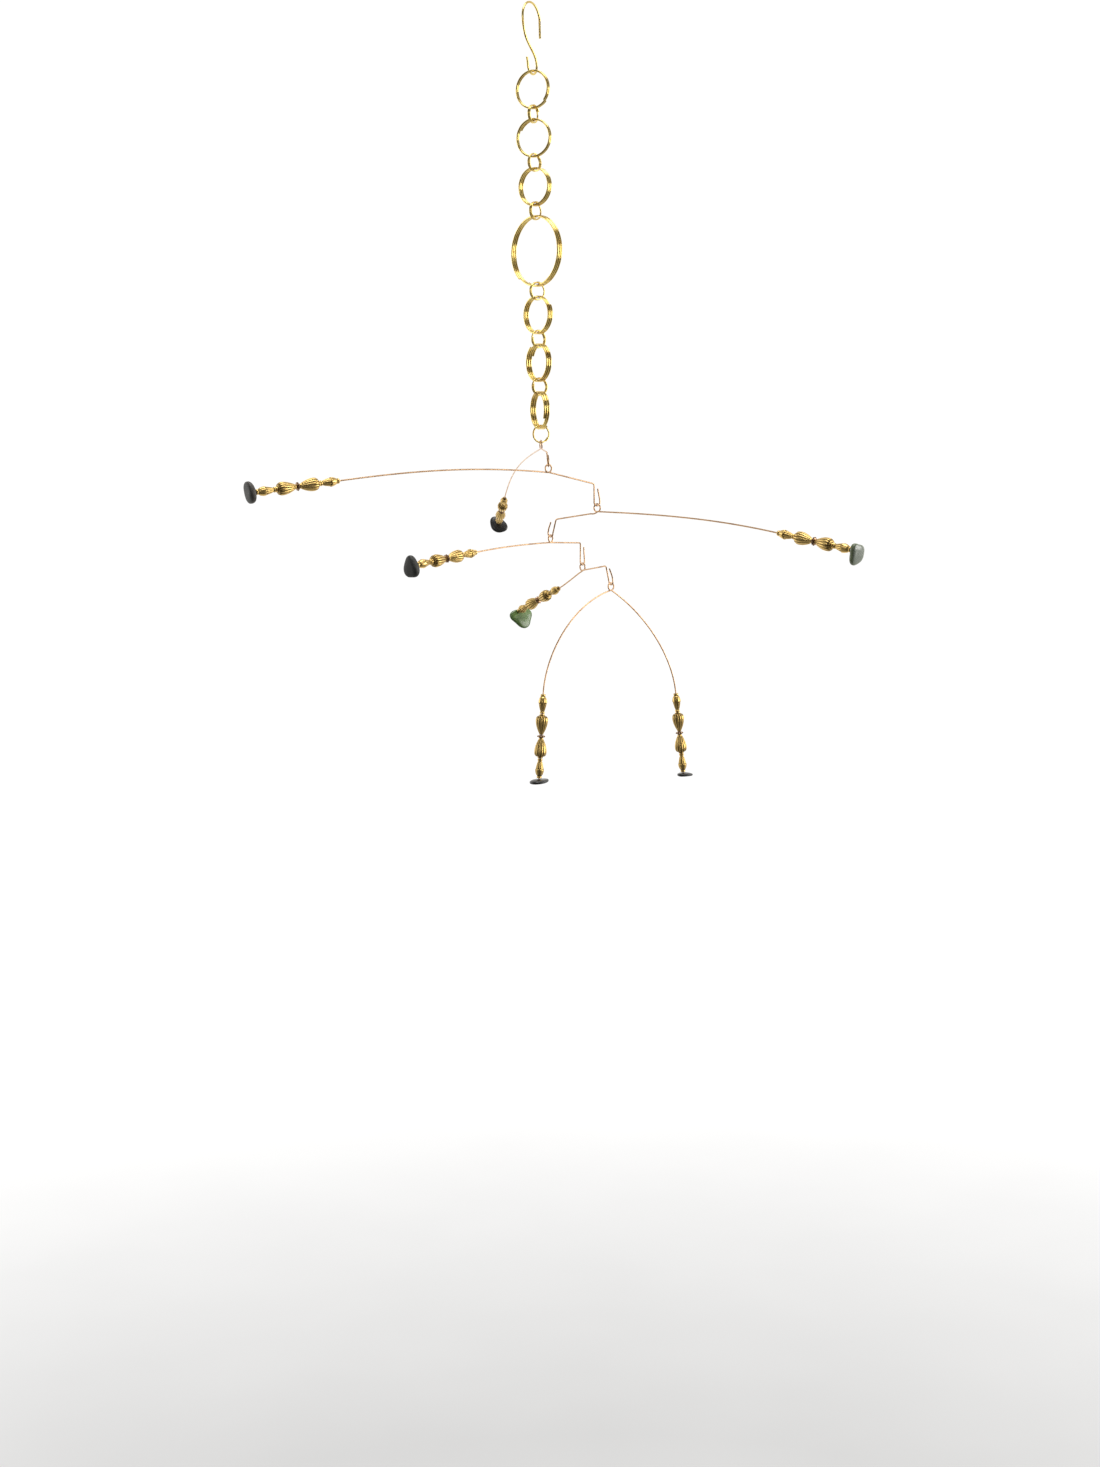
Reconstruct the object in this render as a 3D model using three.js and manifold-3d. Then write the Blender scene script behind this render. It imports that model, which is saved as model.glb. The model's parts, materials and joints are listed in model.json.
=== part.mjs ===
// Hanging mobile: an S-hook, a chain of wound wire coils and links, and six wire arms that hang one
// below the other, each carrying strings of metal beads that end in a drilled stone.
// Millimetres, +Z up. The origin is the inner top of the S-hook, where it sits on its rail.
// +X runs to the right and +Y to the back. Turns are about +Z, from +X towards +Y.
import * as THREE from "three";
import { mergeVertices } from "three/addons/utils/BufferGeometryUtils.js";
import Module from "manifold-3d";

const wasm = await Module();
wasm.setup();

// ---- Wires
const HOOK_WIRE = 2.3;
const COIL_WIRE = 2.1;
const LINK_WIRE = 1.7;
const ARM_WIRE = 1.5;
const GAP = 0.3; // clearance kept between two pieces that touch

// ---- S-hook, drawn in its own upright plane
const HOOK_TURN = 60;
const UPPER_BEND = 16.6; // radii of the wire's centre line
const LOWER_BEND = 8.8;
const LOWER_BEND_DROP = 69.9; // origin to the centre line at the bottom of the lower bend
const BACK_TIP_DROP = 31.9;
const FRONT_TIP_DROP = 54.3;
const FRONT_TIP_SPLAY = 1.2;

// ---- Chain: coil diameters are outside ones, drops are from the origin to the centre
const SMALL_COIL = 39;
const BIG_COIL = 71.4;
const COIL_PITCH = 2.2;
const LINK_COIL = 18.9;
const LINK_PITCH = 1.8;
// turn: the coil's plane; rounds: how many turns are wound; from: where the winding starts, from the
// horizontal; hand: +1 or -1 for the winding's direction; flare: how far the free end springs open;
// aside: shift along the coil's axis
const COILS = [
  { drop: 85.0, turn: -33, rounds: 2.0, from: -42, hand: 1 },
  { drop: 132.95, turn: -30, rounds: 2.2, from: 80, hand: 1 },
  { drop: 181.25, turn: -40, rounds: 2.9, from: 100, hand: 1 },
  { drop: 245.1, turn: -49, rounds: 2.96, from: -132, hand: -1, outside: BIG_COIL },
  { drop: 308.8, turn: -50, rounds: 2.8, from: 100, hand: 1 },
  { drop: 356.4, turn: -58, rounds: 3.1, from: 120, hand: 1 },
  { drop: 404.0, turn: -68, rounds: 2.9, from: -29, hand: 1 },
];
const LINKS = [
  { drop: 109.15, turn: 60, rounds: 1.8, from: 20 },
  { drop: 157.1, turn: 45, rounds: 1.8, from: 150 },
  { drop: 205.1, turn: 54, rounds: 1.75, from: 60, flare: 2.4 },
  { drop: 284.9, turn: 38, rounds: 1.8, from: 40 },
  { drop: 332.7, turn: 42, rounds: 1.8, from: 170 },
  { drop: 380.35, turn: 35, rounds: 1.8, from: 160 },
  { drop: 427.7, turn: 28, rounds: 1.08, from: -55, aside: -0.65 },
];

// ---- Arms
const EYE = 3.85; // radius of the eye's centre line
const EYE_STEP = 0.85; // sideways step of the wire where it crosses itself under the eye
const EYE_GAP = 0.45; // clearance between an eye and the wire it hangs on
const U_BEND = 3.4; // radius of the U at a hook's foot
const CORNER = 2.2; // radius of the bend from an arm into its hook's leg

// ---- Beads, threaded along the wire
const SMALL_BEAD = 19.4;
const DROP_BEAD = 20.6;
const SPACER = 2.6;
const SPACER_ACROSS = 8.6;
const BORE = ARM_WIRE / 2 + GAP;
// half outlines as [distance from the outer end, radius]; a drop's outer end is its wide one
const SMALL_OUTLINE = [[0, 2.8], [2.6, 2.5], [8.6, 4.5], [SMALL_BEAD, 2.7]];
const DROP_OUTLINE = [[0, 2.8], [2.0, 5.4], [6.2, 6.2], [13.6, 4.6], [DROP_BEAD, 2.7]];

// A stone's height and width lie across the wire and its thickness along it. tri: how far it runs to
// three corners; triTurn: where the first corner points; off: its middle's place from the drilled
// hole, up and sideways; lean: tilt of its face off square; roll: how far it is turned on the wire;
// tone: its colour, black if none is given.
const HOLE_DEPTH = 0.72; // how far through a stone its blind hole reaches
const STONES = {
  arm_1: { height: 19, width: 25, thick: 7, tri: 0.06, triTurn: 35, off: [-1.5, 1], roll: 42 },
  arm_2: { height: 22, width: 19, thick: 7.5, tri: 0.03, triTurn: 80, off: [0, 3.4], lean: 7, tone: "grey" },
  arm_3: { height: 21, width: 20, thick: 6.5, tri: 0.09, triTurn: -66, off: [-3.6, -4.6], tone: "olive" },
  arm_4: { height: 22, width: 18.5, thick: 9, tri: 0.1, triTurn: 90, off: [-2, 3.4] },
  arm_5: { height: 23, width: 28, thick: 6.5, tri: 0.14, triTurn: -82, off: [-7, 4.6], tone: "green" },
  arm_6_near: { height: 21, width: 18, thick: 5, tri: 0.03, triTurn: 20, lean: 11 },
  arm_6_far: { height: 18.6, width: 15, thick: 4.4, tri: 0.04, triTurn: 50, off: [2, 0], lean: 9 },
};

// Places in an arm's upright plane are [out, up] from its support, the wire that its eye hangs on:
// "out" runs to the bead string. turn is relative to the arm above. leave and arrive are the wire's
// slopes in degrees, up positive, at the eye and at the string; reach is where the string begins and
// pull how stiffly the wire holds each slope. The short end runs by the dip, if it has one, to the
// corner, down round the U whose foot is the hook, and up to the free tip.
const ARMS = [
  {
    name: "arm_1", turn: 97, reach: [377, -55], leave: -3, arrive: -20.5, pull: [150, 110],
    corner: [-53.7, -11], hook: [-57.3, -25.2], tip: [-58.8, -14],
  },
  {
    name: "arm_2", turn: 116, reach: [229, -10.8], leave: 5, arrive: -6.2, pull: [90, 70],
    corner: [-53.1, -17.7], hook: [-56.6, -39.5], tip: [-57.6, -22.4],
  },
  {
    name: "arm_3", turn: 101.5, reach: [229, -28], leave: -2.5, arrive: -10.4, pull: [80, 80],
    corner: [-58.3, -12.8], hook: [-66.8, -30.7], tip: [-66, -15.6], dip: [-4.5, -8.6],
  },
  {
    name: "arm_4", turn: -84.5, reach: [114, -11.8], leave: -0.5, arrive: -6.1, pull: [38, 38],
    corner: [-47.1, -7.5], hook: [-50.5, -30.5], tip: [-53, -12],
  },
  {
    name: "arm_5", turn: -106.5, reach: [45.4, -25.6], leave: -24, arrive: -18.5, pull: [15, 12],
    corner: [-43.2, -0.4], hook: [-50.4, -19.5], tip: [-48.6, -3],
  },
];
const ARCH = {
  name: "arm_6", turn: 92.5,
  near: { reach: [88, -105], leave: -12, arrive: -85, pull: [50, 40] },
  far: { reach: [82.5, -117], leave: -30, arrive: -84.7, pull: [44, 44] },
};

// ---- Facets: sides of a wire's section, steps along it, and facets round a turned piece
const HOOK_SIDES = 6;
const CHAIN_SIDES = 4;
const ARM_SIDES = 5;
const COIL_STEPS = 14;
const BIG_COIL_STEPS = 20;
const LINK_STEPS = 12;
const EYE_STEPS = 12;
const RUN_STEPS = 10;
const SMALL_BEAD_FACETS = 8;
const DROP_BEAD_FACETS = 8;
const SPACER_FACETS = 8;
const STONE_FACETS = 11;

// ---- Materials
const brass = () => new THREE.MeshStandardMaterial({ color: 0xc8a550, roughness: 0.25, metalness: 1 });
const bronze = () => new THREE.MeshStandardMaterial({ color: 0xb08a5c, roughness: 0.35, metalness: 1 });
const oldGold = () => new THREE.MeshStandardMaterial({ color: 0xb48c3c, roughness: 0.35, metalness: 1 });
const STONE_TONES = {
  black: { color: 0x2c2d2d, roughness: 0.45 },
  grey: { color: 0x4e5250, roughness: 0.6 },
  olive: { color: 0x76805f, roughness: 0.35 },
  green: { color: 0x6d8a5c, roughness: 0.35 },
};

const rad = THREE.MathUtils.degToRad;

// A path that runs straight through the given points, one step of the wire for each stretch.
class WirePath extends THREE.Curve {
  constructor(points) {
    super();
    this.points = points;
  }
  getPoint(t) {
    const last = this.points.length - 1;
    const i = Math.min(Math.floor(t * last + 1e-9), last - 1);
    return this.points[i].clone().lerp(this.points[i + 1], t * last - i);
  }
  getTangentAt(t) {
    const last = this.points.length - 1;
    const i = Math.round(t * last);
    const before = this.points[Math.max(i - 1, 0)];
    const after = this.points[Math.min(i + 1, last)];
    const here = this.points[i];
    const into = here.clone().sub(before).normalize();
    const out = after.clone().sub(here).normalize();
    return into.add(out).normalize();
  }
  getSpacedPoints(divisions) {
    return Array.from({ length: divisions + 1 }, (_, i) => this.getPoint(i / divisions));
  }
}

// A wire of the given diameter along the points, with a section of so many sides.
function wire(points, diameter, sides) {
  const section = new THREE.Shape(
    Array.from({ length: sides }, (_, i) => {
      const a = (i / sides) * 2 * Math.PI;
      return new THREE.Vector2(Math.cos(a), Math.sin(a)).multiplyScalar(diameter / 2);
    })
  );
  return new THREE.ExtrudeGeometry(section, {
    steps: points.length - 1,
    extrudePath: new WirePath(points),
    bevelEnabled: false,
  });
}

// Points of a wound coil, upright in the local XZ plane with its axis along Y.
function coilPoints({ outside, wireDiameter, pitch, rounds, from, hand = 1, flare = 0, perTurn }) {
  const steps = Math.round(rounds * perTurn);
  const radius = (outside - wireDiameter) / 2;
  return Array.from({ length: steps + 1 }, (_, i) => {
    const wound = (i / perTurn) * hand;
    const a = rad(from) + wound * 2 * Math.PI;
    const opened = flare * Math.max(0, i - steps + 2) ** 2 / 4;
    const along = (i / perTurn - steps / perTurn / 2) * pitch;
    return new THREE.Vector3((radius + opened) * Math.cos(a), along, (radius + opened) * Math.sin(a));
  });
}

// A cubic curve between two places of an upright plane, with slopes in degrees at its ends.
function sweep(start, startSlope, end, endSlope, [startPull, endPull], steps) {
  const along = (place, slope, pull) =>
    new THREE.Vector2(place.x + pull * Math.cos(rad(slope)), place.y + pull * Math.sin(rad(slope)));
  const curve = new THREE.CubicBezierCurve(
    start, along(start, startSlope, startPull), along(end, endSlope, -endPull), end
  );
  return curve.getPoints(steps);
}

// An arc in an upright plane, from one angle to another in degrees.
function arc(centre, radius, from, to, steps) {
  return Array.from({ length: steps + 1 }, (_, i) => {
    const a = rad(from + ((to - from) * i) / steps);
    return new THREE.Vector2(centre[0] + radius * Math.cos(a), centre[1] + radius * Math.sin(a));
  });
}

const upright = (places) => places.map((p) => new THREE.Vector3(p.x, 0, p.y));
const place = ([out, up]) => new THREE.Vector2(out, up);

function addMesh(parent, name, geometry, material) {
  const mesh = new THREE.Mesh(geometry, material);
  mesh.name = name;
  parent.add(mesh);
  return mesh;
}

// ---- Solids from manifold-3d, for pieces that are joined
function toSolid(geometry) {
  const bare = geometry.clone();
  bare.deleteAttribute("normal");
  bare.deleteAttribute("uv");
  const merged = mergeVertices(bare, 1e-4);
  const triVerts = new Uint32Array(merged.index.array);
  return new wasm.Manifold(
    new wasm.Mesh({ numProp: 3, vertProperties: merged.attributes.position.array, triVerts })
  );
}

function toGeometry(solid) {
  const mesh = solid.getMesh();
  const geometry = new THREE.BufferGeometry();
  geometry.setAttribute("position", new THREE.BufferAttribute(mesh.vertProperties, 3));
  geometry.setIndex(new THREE.BufferAttribute(mesh.triVerts, 1));
  geometry.computeVertexNormals();
  return geometry;
}

// A turned shape about the local Z axis from [distance along Z, radius] places, outer side first.
function turned(places, segments) {
  const profile = places.map(([along, radius]) => new THREE.Vector2(radius, along));
  return new THREE.LatheGeometry(profile, segments).rotateX(Math.PI / 2);
}

// A bead with a hole for the wire: its half outline, closed along the bore.
function bored(outline, segments) {
  const [first, last] = [outline[0], outline[outline.length - 1]];
  return turned([[first[0], BORE], ...outline, [last[0], BORE], [first[0], BORE]], segments);
}

// ---- S-hook
function sHook() {
  const upperCentre = [0, HOOK_WIRE / 2 - UPPER_BEND];
  const lowerCentre = [0, LOWER_BEND - LOWER_BEND_DROP];
  const points = [
    new THREE.Vector2(UPPER_BEND, -BACK_TIP_DROP),
    ...arc(upperCentre, UPPER_BEND, 0, 180, 12),
    ...sweep(
      new THREE.Vector2(-UPPER_BEND, upperCentre[1]), -90,
      new THREE.Vector2(LOWER_BEND, lowerCentre[1]), -90, [30, 18], 8
    ).slice(1),
    ...arc(lowerCentre, LOWER_BEND, 0, -180, 8).slice(1),
    new THREE.Vector2(-LOWER_BEND - FRONT_TIP_SPLAY, -FRONT_TIP_DROP),
  ];
  return wire(upright(points), HOOK_WIRE, HOOK_SIDES);
}

// ---- Stones: rings about the wire's axis, round at the drilled hole and shaped by the outline outside
function stone({ height, width, thick, tri, triTurn, off = [0, 0], lean = 0 }) {
  const rings = [
    { share: 0, along: HOLE_DEPTH },
    { bore: true, along: HOLE_DEPTH },
    { bore: true, along: 0 },
    { share: 0.66, along: 0.04 },
    { share: 1, along: 0.46 },
    { share: 0.64, along: 0.95 },
    { share: 0, along: 1 },
  ];
  const profile = rings.map((ring) => new THREE.Vector2(ring.bore ? BORE : ring.share, ring.along));
  const geometry = new THREE.LatheGeometry(profile, STONE_FACETS).rotateX(Math.PI / 2);
  const position = geometry.attributes.position;
  const middle = new THREE.Vector3(0, 0, thick / 2);
  for (let i = 0; i < position.count; i += 1) {
    const spot = new THREE.Vector3().fromBufferAttribute(position, i);
    const a = Math.atan2(spot.x, spot.y);
    const share = Math.hypot(spot.x, spot.y);
    const drilled = Math.abs(share - BORE) < 1e-4;
    spot.z *= thick;
    if (!drilled) {
      const outline = 1 + tri * Math.cos(3 * (a - rad(triTurn)));
      spot.x = share * (Math.sin(a) * (height / 2) * outline + off[0]);
      spot.y = share * (Math.cos(a) * (width / 2) * outline + off[1]);
      spot.sub(middle).applyAxisAngle(new THREE.Vector3(0, 1, 0), rad(-lean) * share).add(middle);
    }
    position.setXYZ(i, spot.x, spot.y, spot.z);
  }
  return geometry;
}

const STRING_LENGTH = 2 * (SMALL_BEAD + DROP_BEAD) + SPACER + 4 * GAP;

// ---- A bead string from its start in an arm's plane, running out at the given slope
function addString(arm, prefix, start, out, slope) {
  const string = new THREE.Group();
  const along = new THREE.Vector3(out * Math.cos(rad(slope)), 0, Math.sin(rad(slope)));
  const up = new THREE.Vector3(-out * Math.sin(rad(slope)), 0, Math.cos(rad(slope)));
  const side = new THREE.Vector3().crossVectors(along, up);
  string.quaternion.setFromRotationMatrix(new THREE.Matrix4().makeBasis(up, side, along));
  string.position.set(out * start[0], 0, start[1]);
  arm.add(string);

  const flip = (outline, length) => outline.map(([d, r]) => [length - d, r]).reverse();
  let at = 0;
  const thread = (name, geometry, length) => {
    addMesh(string, prefix + "_" + name, geometry, oldGold()).position.z = at;
    at += length + GAP;
  };
  thread("small_bead_inner", bored(SMALL_OUTLINE, SMALL_BEAD_FACETS), SMALL_BEAD);
  thread("drop_bead_inner", bored(DROP_OUTLINE, DROP_BEAD_FACETS), DROP_BEAD);

  // the daisy spacer lies tight against the outer drop's neck and is joined to it
  const spacer = [[0, 2.6], [0.5 * SPACER, SPACER_ACROSS / 2], [SPACER, 2.6]];
  const tight = 0.05;
  const outer = bored(flip(DROP_OUTLINE, DROP_BEAD), DROP_BEAD_FACETS).translate(0, 0, SPACER - tight);
  const joined = toSolid(bored(spacer, SPACER_FACETS)).add(toSolid(outer));
  thread("drop_bead_outer", toGeometry(joined), SPACER + DROP_BEAD - tight);

  const smallOuter = bored(flip(SMALL_OUTLINE, SMALL_BEAD), SMALL_BEAD_FACETS);
  thread("small_bead_outer", smallOuter, SMALL_BEAD);
  const shape = STONES[prefix];
  const material = new THREE.MeshStandardMaterial({ ...STONE_TONES[shape.tone ?? "black"], metalness: 0 });
  const pebble = addMesh(string, prefix + "_stone", stone(shape), material);
  // a leaning face stands off the bead's rim
  pebble.position.z = at + SMALL_OUTLINE[0][1] * Math.sin(rad(shape.lean ?? 0));
  pebble.rotation.z = rad(shape.roll ?? 0);
}

// Where a string's wire ends, inside the stone
function wireEnd(start, slope, stoneThick) {
  const length = STRING_LENGTH + HOLE_DEPTH * stoneThick - GAP;
  return new THREE.Vector2(
    start[0] + length * Math.cos(rad(slope)), start[1] + length * Math.sin(rad(slope))
  );
}

// ---- Arm wires
// How far above its support an eye's top lies
const eyeTopOn = (upperWire) => (upperWire + ARM_WIRE) / 2 + EYE_GAP;

// The eye: one round of wire, stepping sideways so that it passes itself at the bottom
function eyePoints(eyeCentre) {
  return Array.from({ length: EYE_STEPS + 1 }, (_, i) => {
    const a = (i / EYE_STEPS) * 2 * Math.PI;
    const sideways = EYE_STEP * ((2 * i) / EYE_STEPS - 1);
    return new THREE.Vector3(-EYE * Math.sin(a), sideways, eyeCentre - EYE * Math.cos(a));
  });
}

// Half of an arm from the eye's bottom out to the string, with the wire's sideways step fading out
function outward(bottom, half, stoneThick, sideways) {
  const eyeFoot = new THREE.Vector2(0, bottom);
  const run = sweep(eyeFoot, half.leave, place(half.reach), half.arrive, half.pull, RUN_STEPS);
  const points = run.map((p, i) => new THREE.Vector3(p.x, sideways * (1 - i / RUN_STEPS), p.y));
  const end = wireEnd(half.reach, half.arrive, stoneThick);
  points.push(new THREE.Vector3(end.x, 0, end.y));
  return points;
}

function hookPoints({ corner, hook, tip, dip }, bottom) {
  const legTop = new THREE.Vector2(hook[0] + U_BEND, hook[1] + U_BEND);
  const into = place(dip ?? [0, bottom]).sub(place(corner)).normalize().multiplyScalar(CORNER);
  const down = legTop.clone().sub(place(corner)).normalize().multiplyScalar(CORNER);
  const bend = new THREE.QuadraticBezierCurve(
    place(corner).add(into), place(corner), place(corner).add(down)
  ).getPoints(3);
  const dipped = dip ? [place(dip), place([2 * dip[0], dip[1] + 0.8])] : [];
  return [
    ...dipped,
    ...bend,
    ...arc([hook[0], hook[1] + U_BEND], U_BEND, 0, -180, 6),
    place(tip),
  ];
}

function armWire(spec, eyeTop) {
  const eyeCentre = eyeTop - EYE;
  const bottom = eyeCentre - EYE;
  const long = outward(bottom, spec, STONES[spec.name].thick, -EYE_STEP);
  const short = hookPoints(spec, bottom);
  const last = short.length - 1;
  const shortPoints = short.map((p, i) => new THREE.Vector3(p.x, EYE_STEP * 0.5 * (1 - i / last), p.y));
  return wire([...long.reverse(), ...eyePoints(eyeCentre).slice(1), ...shortPoints], ARM_WIRE, ARM_SIDES);
}

function archWire(spec, eyeTop) {
  const eyeCentre = eyeTop - EYE;
  const bottom = eyeCentre - EYE;
  const near = outward(bottom, spec.near, STONES.arm_6_near.thick, -EYE_STEP);
  const far = outward(bottom, spec.far, STONES.arm_6_far.thick, EYE_STEP);
  const farPoints = far.slice(1).map((p) => new THREE.Vector3(-p.x, p.y, p.z));
  return wire([...near.reverse(), ...eyePoints(eyeCentre).slice(1), ...farPoints], ARM_WIRE, ARM_SIDES);
}

// ---- Assembly
const mobile = new THREE.Group();
mobile.name = "mobile";

addMesh(mobile, "s_hook", sHook(), brass()).rotation.z = rad(HOOK_TURN);

COILS.forEach((coil, i) => {
  const big = coil.outside === BIG_COIL;
  const perTurn = big ? BIG_COIL_STEPS : COIL_STEPS;
  const winding = { outside: SMALL_COIL, wireDiameter: COIL_WIRE, pitch: COIL_PITCH, perTurn, ...coil };
  const geometry = wire(coilPoints(winding), COIL_WIRE, CHAIN_SIDES);
  const mesh = addMesh(mobile, "coil_" + (i + 1), geometry, brass());
  mesh.position.z = -coil.drop;
  mesh.rotation.z = rad(coil.turn);
});

LINKS.forEach((link, i) => {
  const sizes = { outside: LINK_COIL, wireDiameter: LINK_WIRE, pitch: LINK_PITCH };
  const winding = { ...sizes, perTurn: LINK_STEPS, ...link };
  const geometry = wire(coilPoints(winding), LINK_WIRE, CHAIN_SIDES);
  const mesh = addMesh(mobile, "link_" + (i + 1), geometry, brass());
  mesh.position.z = -link.drop;
  mesh.rotation.z = rad(link.turn);
  mesh.translateY(link.aside ?? 0);
});

// Each arm hangs in a group of its own, on the hook of the arm above
const lastLink = LINKS[LINKS.length - 1];
let above = mobile;
let support = [0, -lastLink.drop - (LINK_COIL - LINK_WIRE) / 2];
let upperWire = LINK_WIRE;
for (const spec of [...ARMS, ARCH]) {
  const arm = new THREE.Group();
  arm.position.set(support[0], 0, support[1]);
  arm.rotation.z = rad(spec.turn);
  above.add(arm);
  const eyeTop = eyeTopOn(upperWire);
  if (spec === ARCH) {
    addMesh(arm, spec.name + "_wire", archWire(spec, eyeTop), bronze());
    addString(arm, "arm_6_near", spec.near.reach, 1, spec.near.arrive);
    addString(arm, "arm_6_far", spec.far.reach, -1, spec.far.arrive);
  } else {
    addMesh(arm, spec.name + "_wire", armWire(spec, eyeTop), bronze());
    addString(arm, spec.name, spec.reach, 1, spec.arrive);
  }
  above = arm;
  support = spec.hook;
  upperWire = ARM_WIRE;
}

export default mobile;
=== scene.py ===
"""Looks of the hanging mobile: wound wire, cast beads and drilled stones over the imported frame."""

import json
import math
import random

import bpy
import numpy as np
from mathutils import Matrix, Vector


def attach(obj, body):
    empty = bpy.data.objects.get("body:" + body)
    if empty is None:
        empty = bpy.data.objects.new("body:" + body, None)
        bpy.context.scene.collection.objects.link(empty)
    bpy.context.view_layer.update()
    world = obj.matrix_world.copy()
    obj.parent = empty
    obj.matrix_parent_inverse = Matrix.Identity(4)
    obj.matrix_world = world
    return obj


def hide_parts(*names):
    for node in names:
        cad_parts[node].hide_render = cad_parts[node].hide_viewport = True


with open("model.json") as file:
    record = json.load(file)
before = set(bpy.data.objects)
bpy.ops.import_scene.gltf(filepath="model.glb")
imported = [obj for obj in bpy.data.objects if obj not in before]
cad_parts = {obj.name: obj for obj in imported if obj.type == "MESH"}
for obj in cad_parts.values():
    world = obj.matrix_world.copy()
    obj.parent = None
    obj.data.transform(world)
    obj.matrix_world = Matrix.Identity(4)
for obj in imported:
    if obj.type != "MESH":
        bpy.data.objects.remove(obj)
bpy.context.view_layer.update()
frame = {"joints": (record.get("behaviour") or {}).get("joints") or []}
MM = 0.001


# ---------------------------------------------------------------- sizes, in mm as in the part
HOOK_WIRE, COIL_WIRE, LINK_WIRE, ARM_WIRE = 2.3, 2.1, 1.7, 1.5
GAP, EYE_GAP = 0.3, 0.45
HOOK_TURN, UPPER_BEND, LOWER_BEND, LOWER_BEND_DROP = 60, 16.6, 8.8, 69.9
BACK_TIP_DROP, FRONT_TIP_DROP, FRONT_TIP_SPLAY = 31.9, 54.3, 1.2
SMALL_COIL, BIG_COIL, COIL_PITCH = 39.0, 71.4, 2.2
LINK_COIL, LINK_PITCH = 18.9, 1.8
# drop: below the rail's seat; turn: of the coil's plane, in degrees; start: where the winding
# begins. coil_1 and coil_7 are turned 2.5 and 2 degrees less than in the part, as photographed
COILS = [
    dict(drop=85.0, turn=-30.5, rounds=2.0, start=-42),
    dict(drop=132.95, turn=-30, rounds=2.2, start=80),
    dict(drop=181.25, turn=-40, rounds=2.9, start=100),
    dict(drop=245.1, turn=-49, rounds=2.96, start=-132, hand=-1, outside=BIG_COIL),
    dict(drop=308.8, turn=-50, rounds=2.8, start=100),
    dict(drop=356.4, turn=-58, rounds=3.1, start=120),
    dict(drop=404.0, turn=-66, rounds=2.9, start=-29),
]
LINKS = [
    dict(drop=109.15, turn=60, rounds=1.8, start=20),
    dict(drop=157.1, turn=45, rounds=1.8, start=150),
    dict(drop=205.1, turn=54, rounds=1.75, start=60, flare=2.4),
    dict(drop=284.9, turn=38, rounds=1.8, start=40),
    dict(drop=332.7, turn=42, rounds=1.8, start=170),
    dict(drop=380.35, turn=35, rounds=1.8, start=160),
    dict(drop=427.7, turn=28, rounds=1.08, start=-55, aside=-0.65),
]
EYE, EYE_STEP, U_BEND, CORNER = 3.85, 0.85, 3.4, 2.2
SMALL_BEAD, DROP_BEAD, SPACER = 19.4, 20.6, 2.6
STRING_LENGTH = 2 * (SMALL_BEAD + DROP_BEAD) + SPACER + 4 * GAP
SPACER_TUCK = 0.05  # how far the outer drop sits inside the spacer's length
HOLE_DEPTH = 0.72  # the share of a stone's thickness that the wire goes in
LEAN_SHIFT = 2.8  # how much further out a stone sits for the sine of its lean
# off: the outline's middle from the hole; tri, square: how three- or four-cornered the outline
# is; lean, roll: the stone's tilt, and its turn about the wire, in degrees
STONES = {
    "arm_1": dict(height=19, width=25, thick=7, tri=0.06, tri_turn=35, off=(-1.5, 1), roll=42),
    "arm_2": dict(height=22, width=19, thick=7.5, tri=0.03, tri_turn=80, off=(0, 3.4), lean=7,
                  square=(0.02, 40)),
    "arm_3": dict(height=21, width=20, thick=6.5, tri=0.09, tri_turn=-66, off=(-3.6, -4.6),
                  square=(0.06, 45)),
    "arm_4": dict(height=22, width=18.5, thick=9, tri=0.1, tri_turn=90, off=(-2, 3.4)),
    "arm_5": dict(height=23, width=28, thick=6.5, tri=0.14, tri_turn=-82, off=(-7, 4.6)),
    "arm_6_near": dict(height=21, width=18, thick=5, tri=0.03, tri_turn=20, lean=11),
    "arm_6_far": dict(height=18.6, width=15, thick=4.4, tri=0.04, tri_turn=50, off=(2, 0), lean=9),
}
# turn: from the arm above, in degrees; reach: where the bead string begins; leave, arrive: the
# wire's slopes there; pull: how far each slope carries; corner, hook, tip: points of the short end
ARMS = [
    dict(name="arm_1", turn=97, reach=(377, -55), leave=-3, arrive=-20.5, pull=(150, 110),
         corner=(-53.7, -11), hook=(-57.3, -25.2), tip=(-58.8, -14)),
    dict(name="arm_2", turn=116, reach=(229, -10.8), leave=5, arrive=-6.2, pull=(90, 70),
         corner=(-53.1, -17.7), hook=(-56.6, -39.5), tip=(-57.6, -22.4)),
    dict(name="arm_3", turn=101.5, reach=(229, -28), leave=-2.5, arrive=-10.4, pull=(80, 80),
         corner=(-58.3, -12.8), hook=(-66.8, -30.7), tip=(-66, -15.6), dip=(-4.5, -8.6)),
    dict(name="arm_4", turn=-84.5, reach=(114, -11.8), leave=-0.5, arrive=-6.1, pull=(38, 38),
         corner=(-47.1, -7.5), hook=(-50.5, -30.5), tip=(-53, -12)),
    dict(name="arm_5", turn=-106.5, reach=(45.4, -25.6), leave=-24, arrive=-18.5, pull=(15, 12),
         corner=(-43.2, -0.4), hook=(-50.4, -19.5), tip=(-48.6, -3)),
]
ARCH = dict(
    name="arm_6", turn=92.5,
    near=dict(reach=(88, -105), leave=-12, arrive=-85, pull=(50, 40)),
    far=dict(reach=(82.5, -117), leave=-30, arrive=-84.7, pull=(44, 44)),
)
# how finely each wire is drawn: points about it and, for a winding, points to the round
HOOK_SIDES, COIL_SIDES, LINK_SIDES, ARM_SIDES = 18, 16, 14, 12
COIL_STEPS, BIG_COIL_STEPS, LINK_STEPS = 72, 110, 48
COIL_WOBBLE, LINK_WOBBLE = 0.28, 0.2
COIL_SEED, LINK_SEED = 10, 30
WIRE_BEVEL = 0.22  # of the radius, round each cut end
LAY_UNIT = 10  # millimetres of wire to one unit of the "lay" attribute
FULL_TURN = 6.28  # the span of a random turn, in radians
BEAD_SHARP, STONE_SHARP = 50, 60  # edges over these angles stay sharp


# ---------------------------------------------------------------- mesh tools


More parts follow.
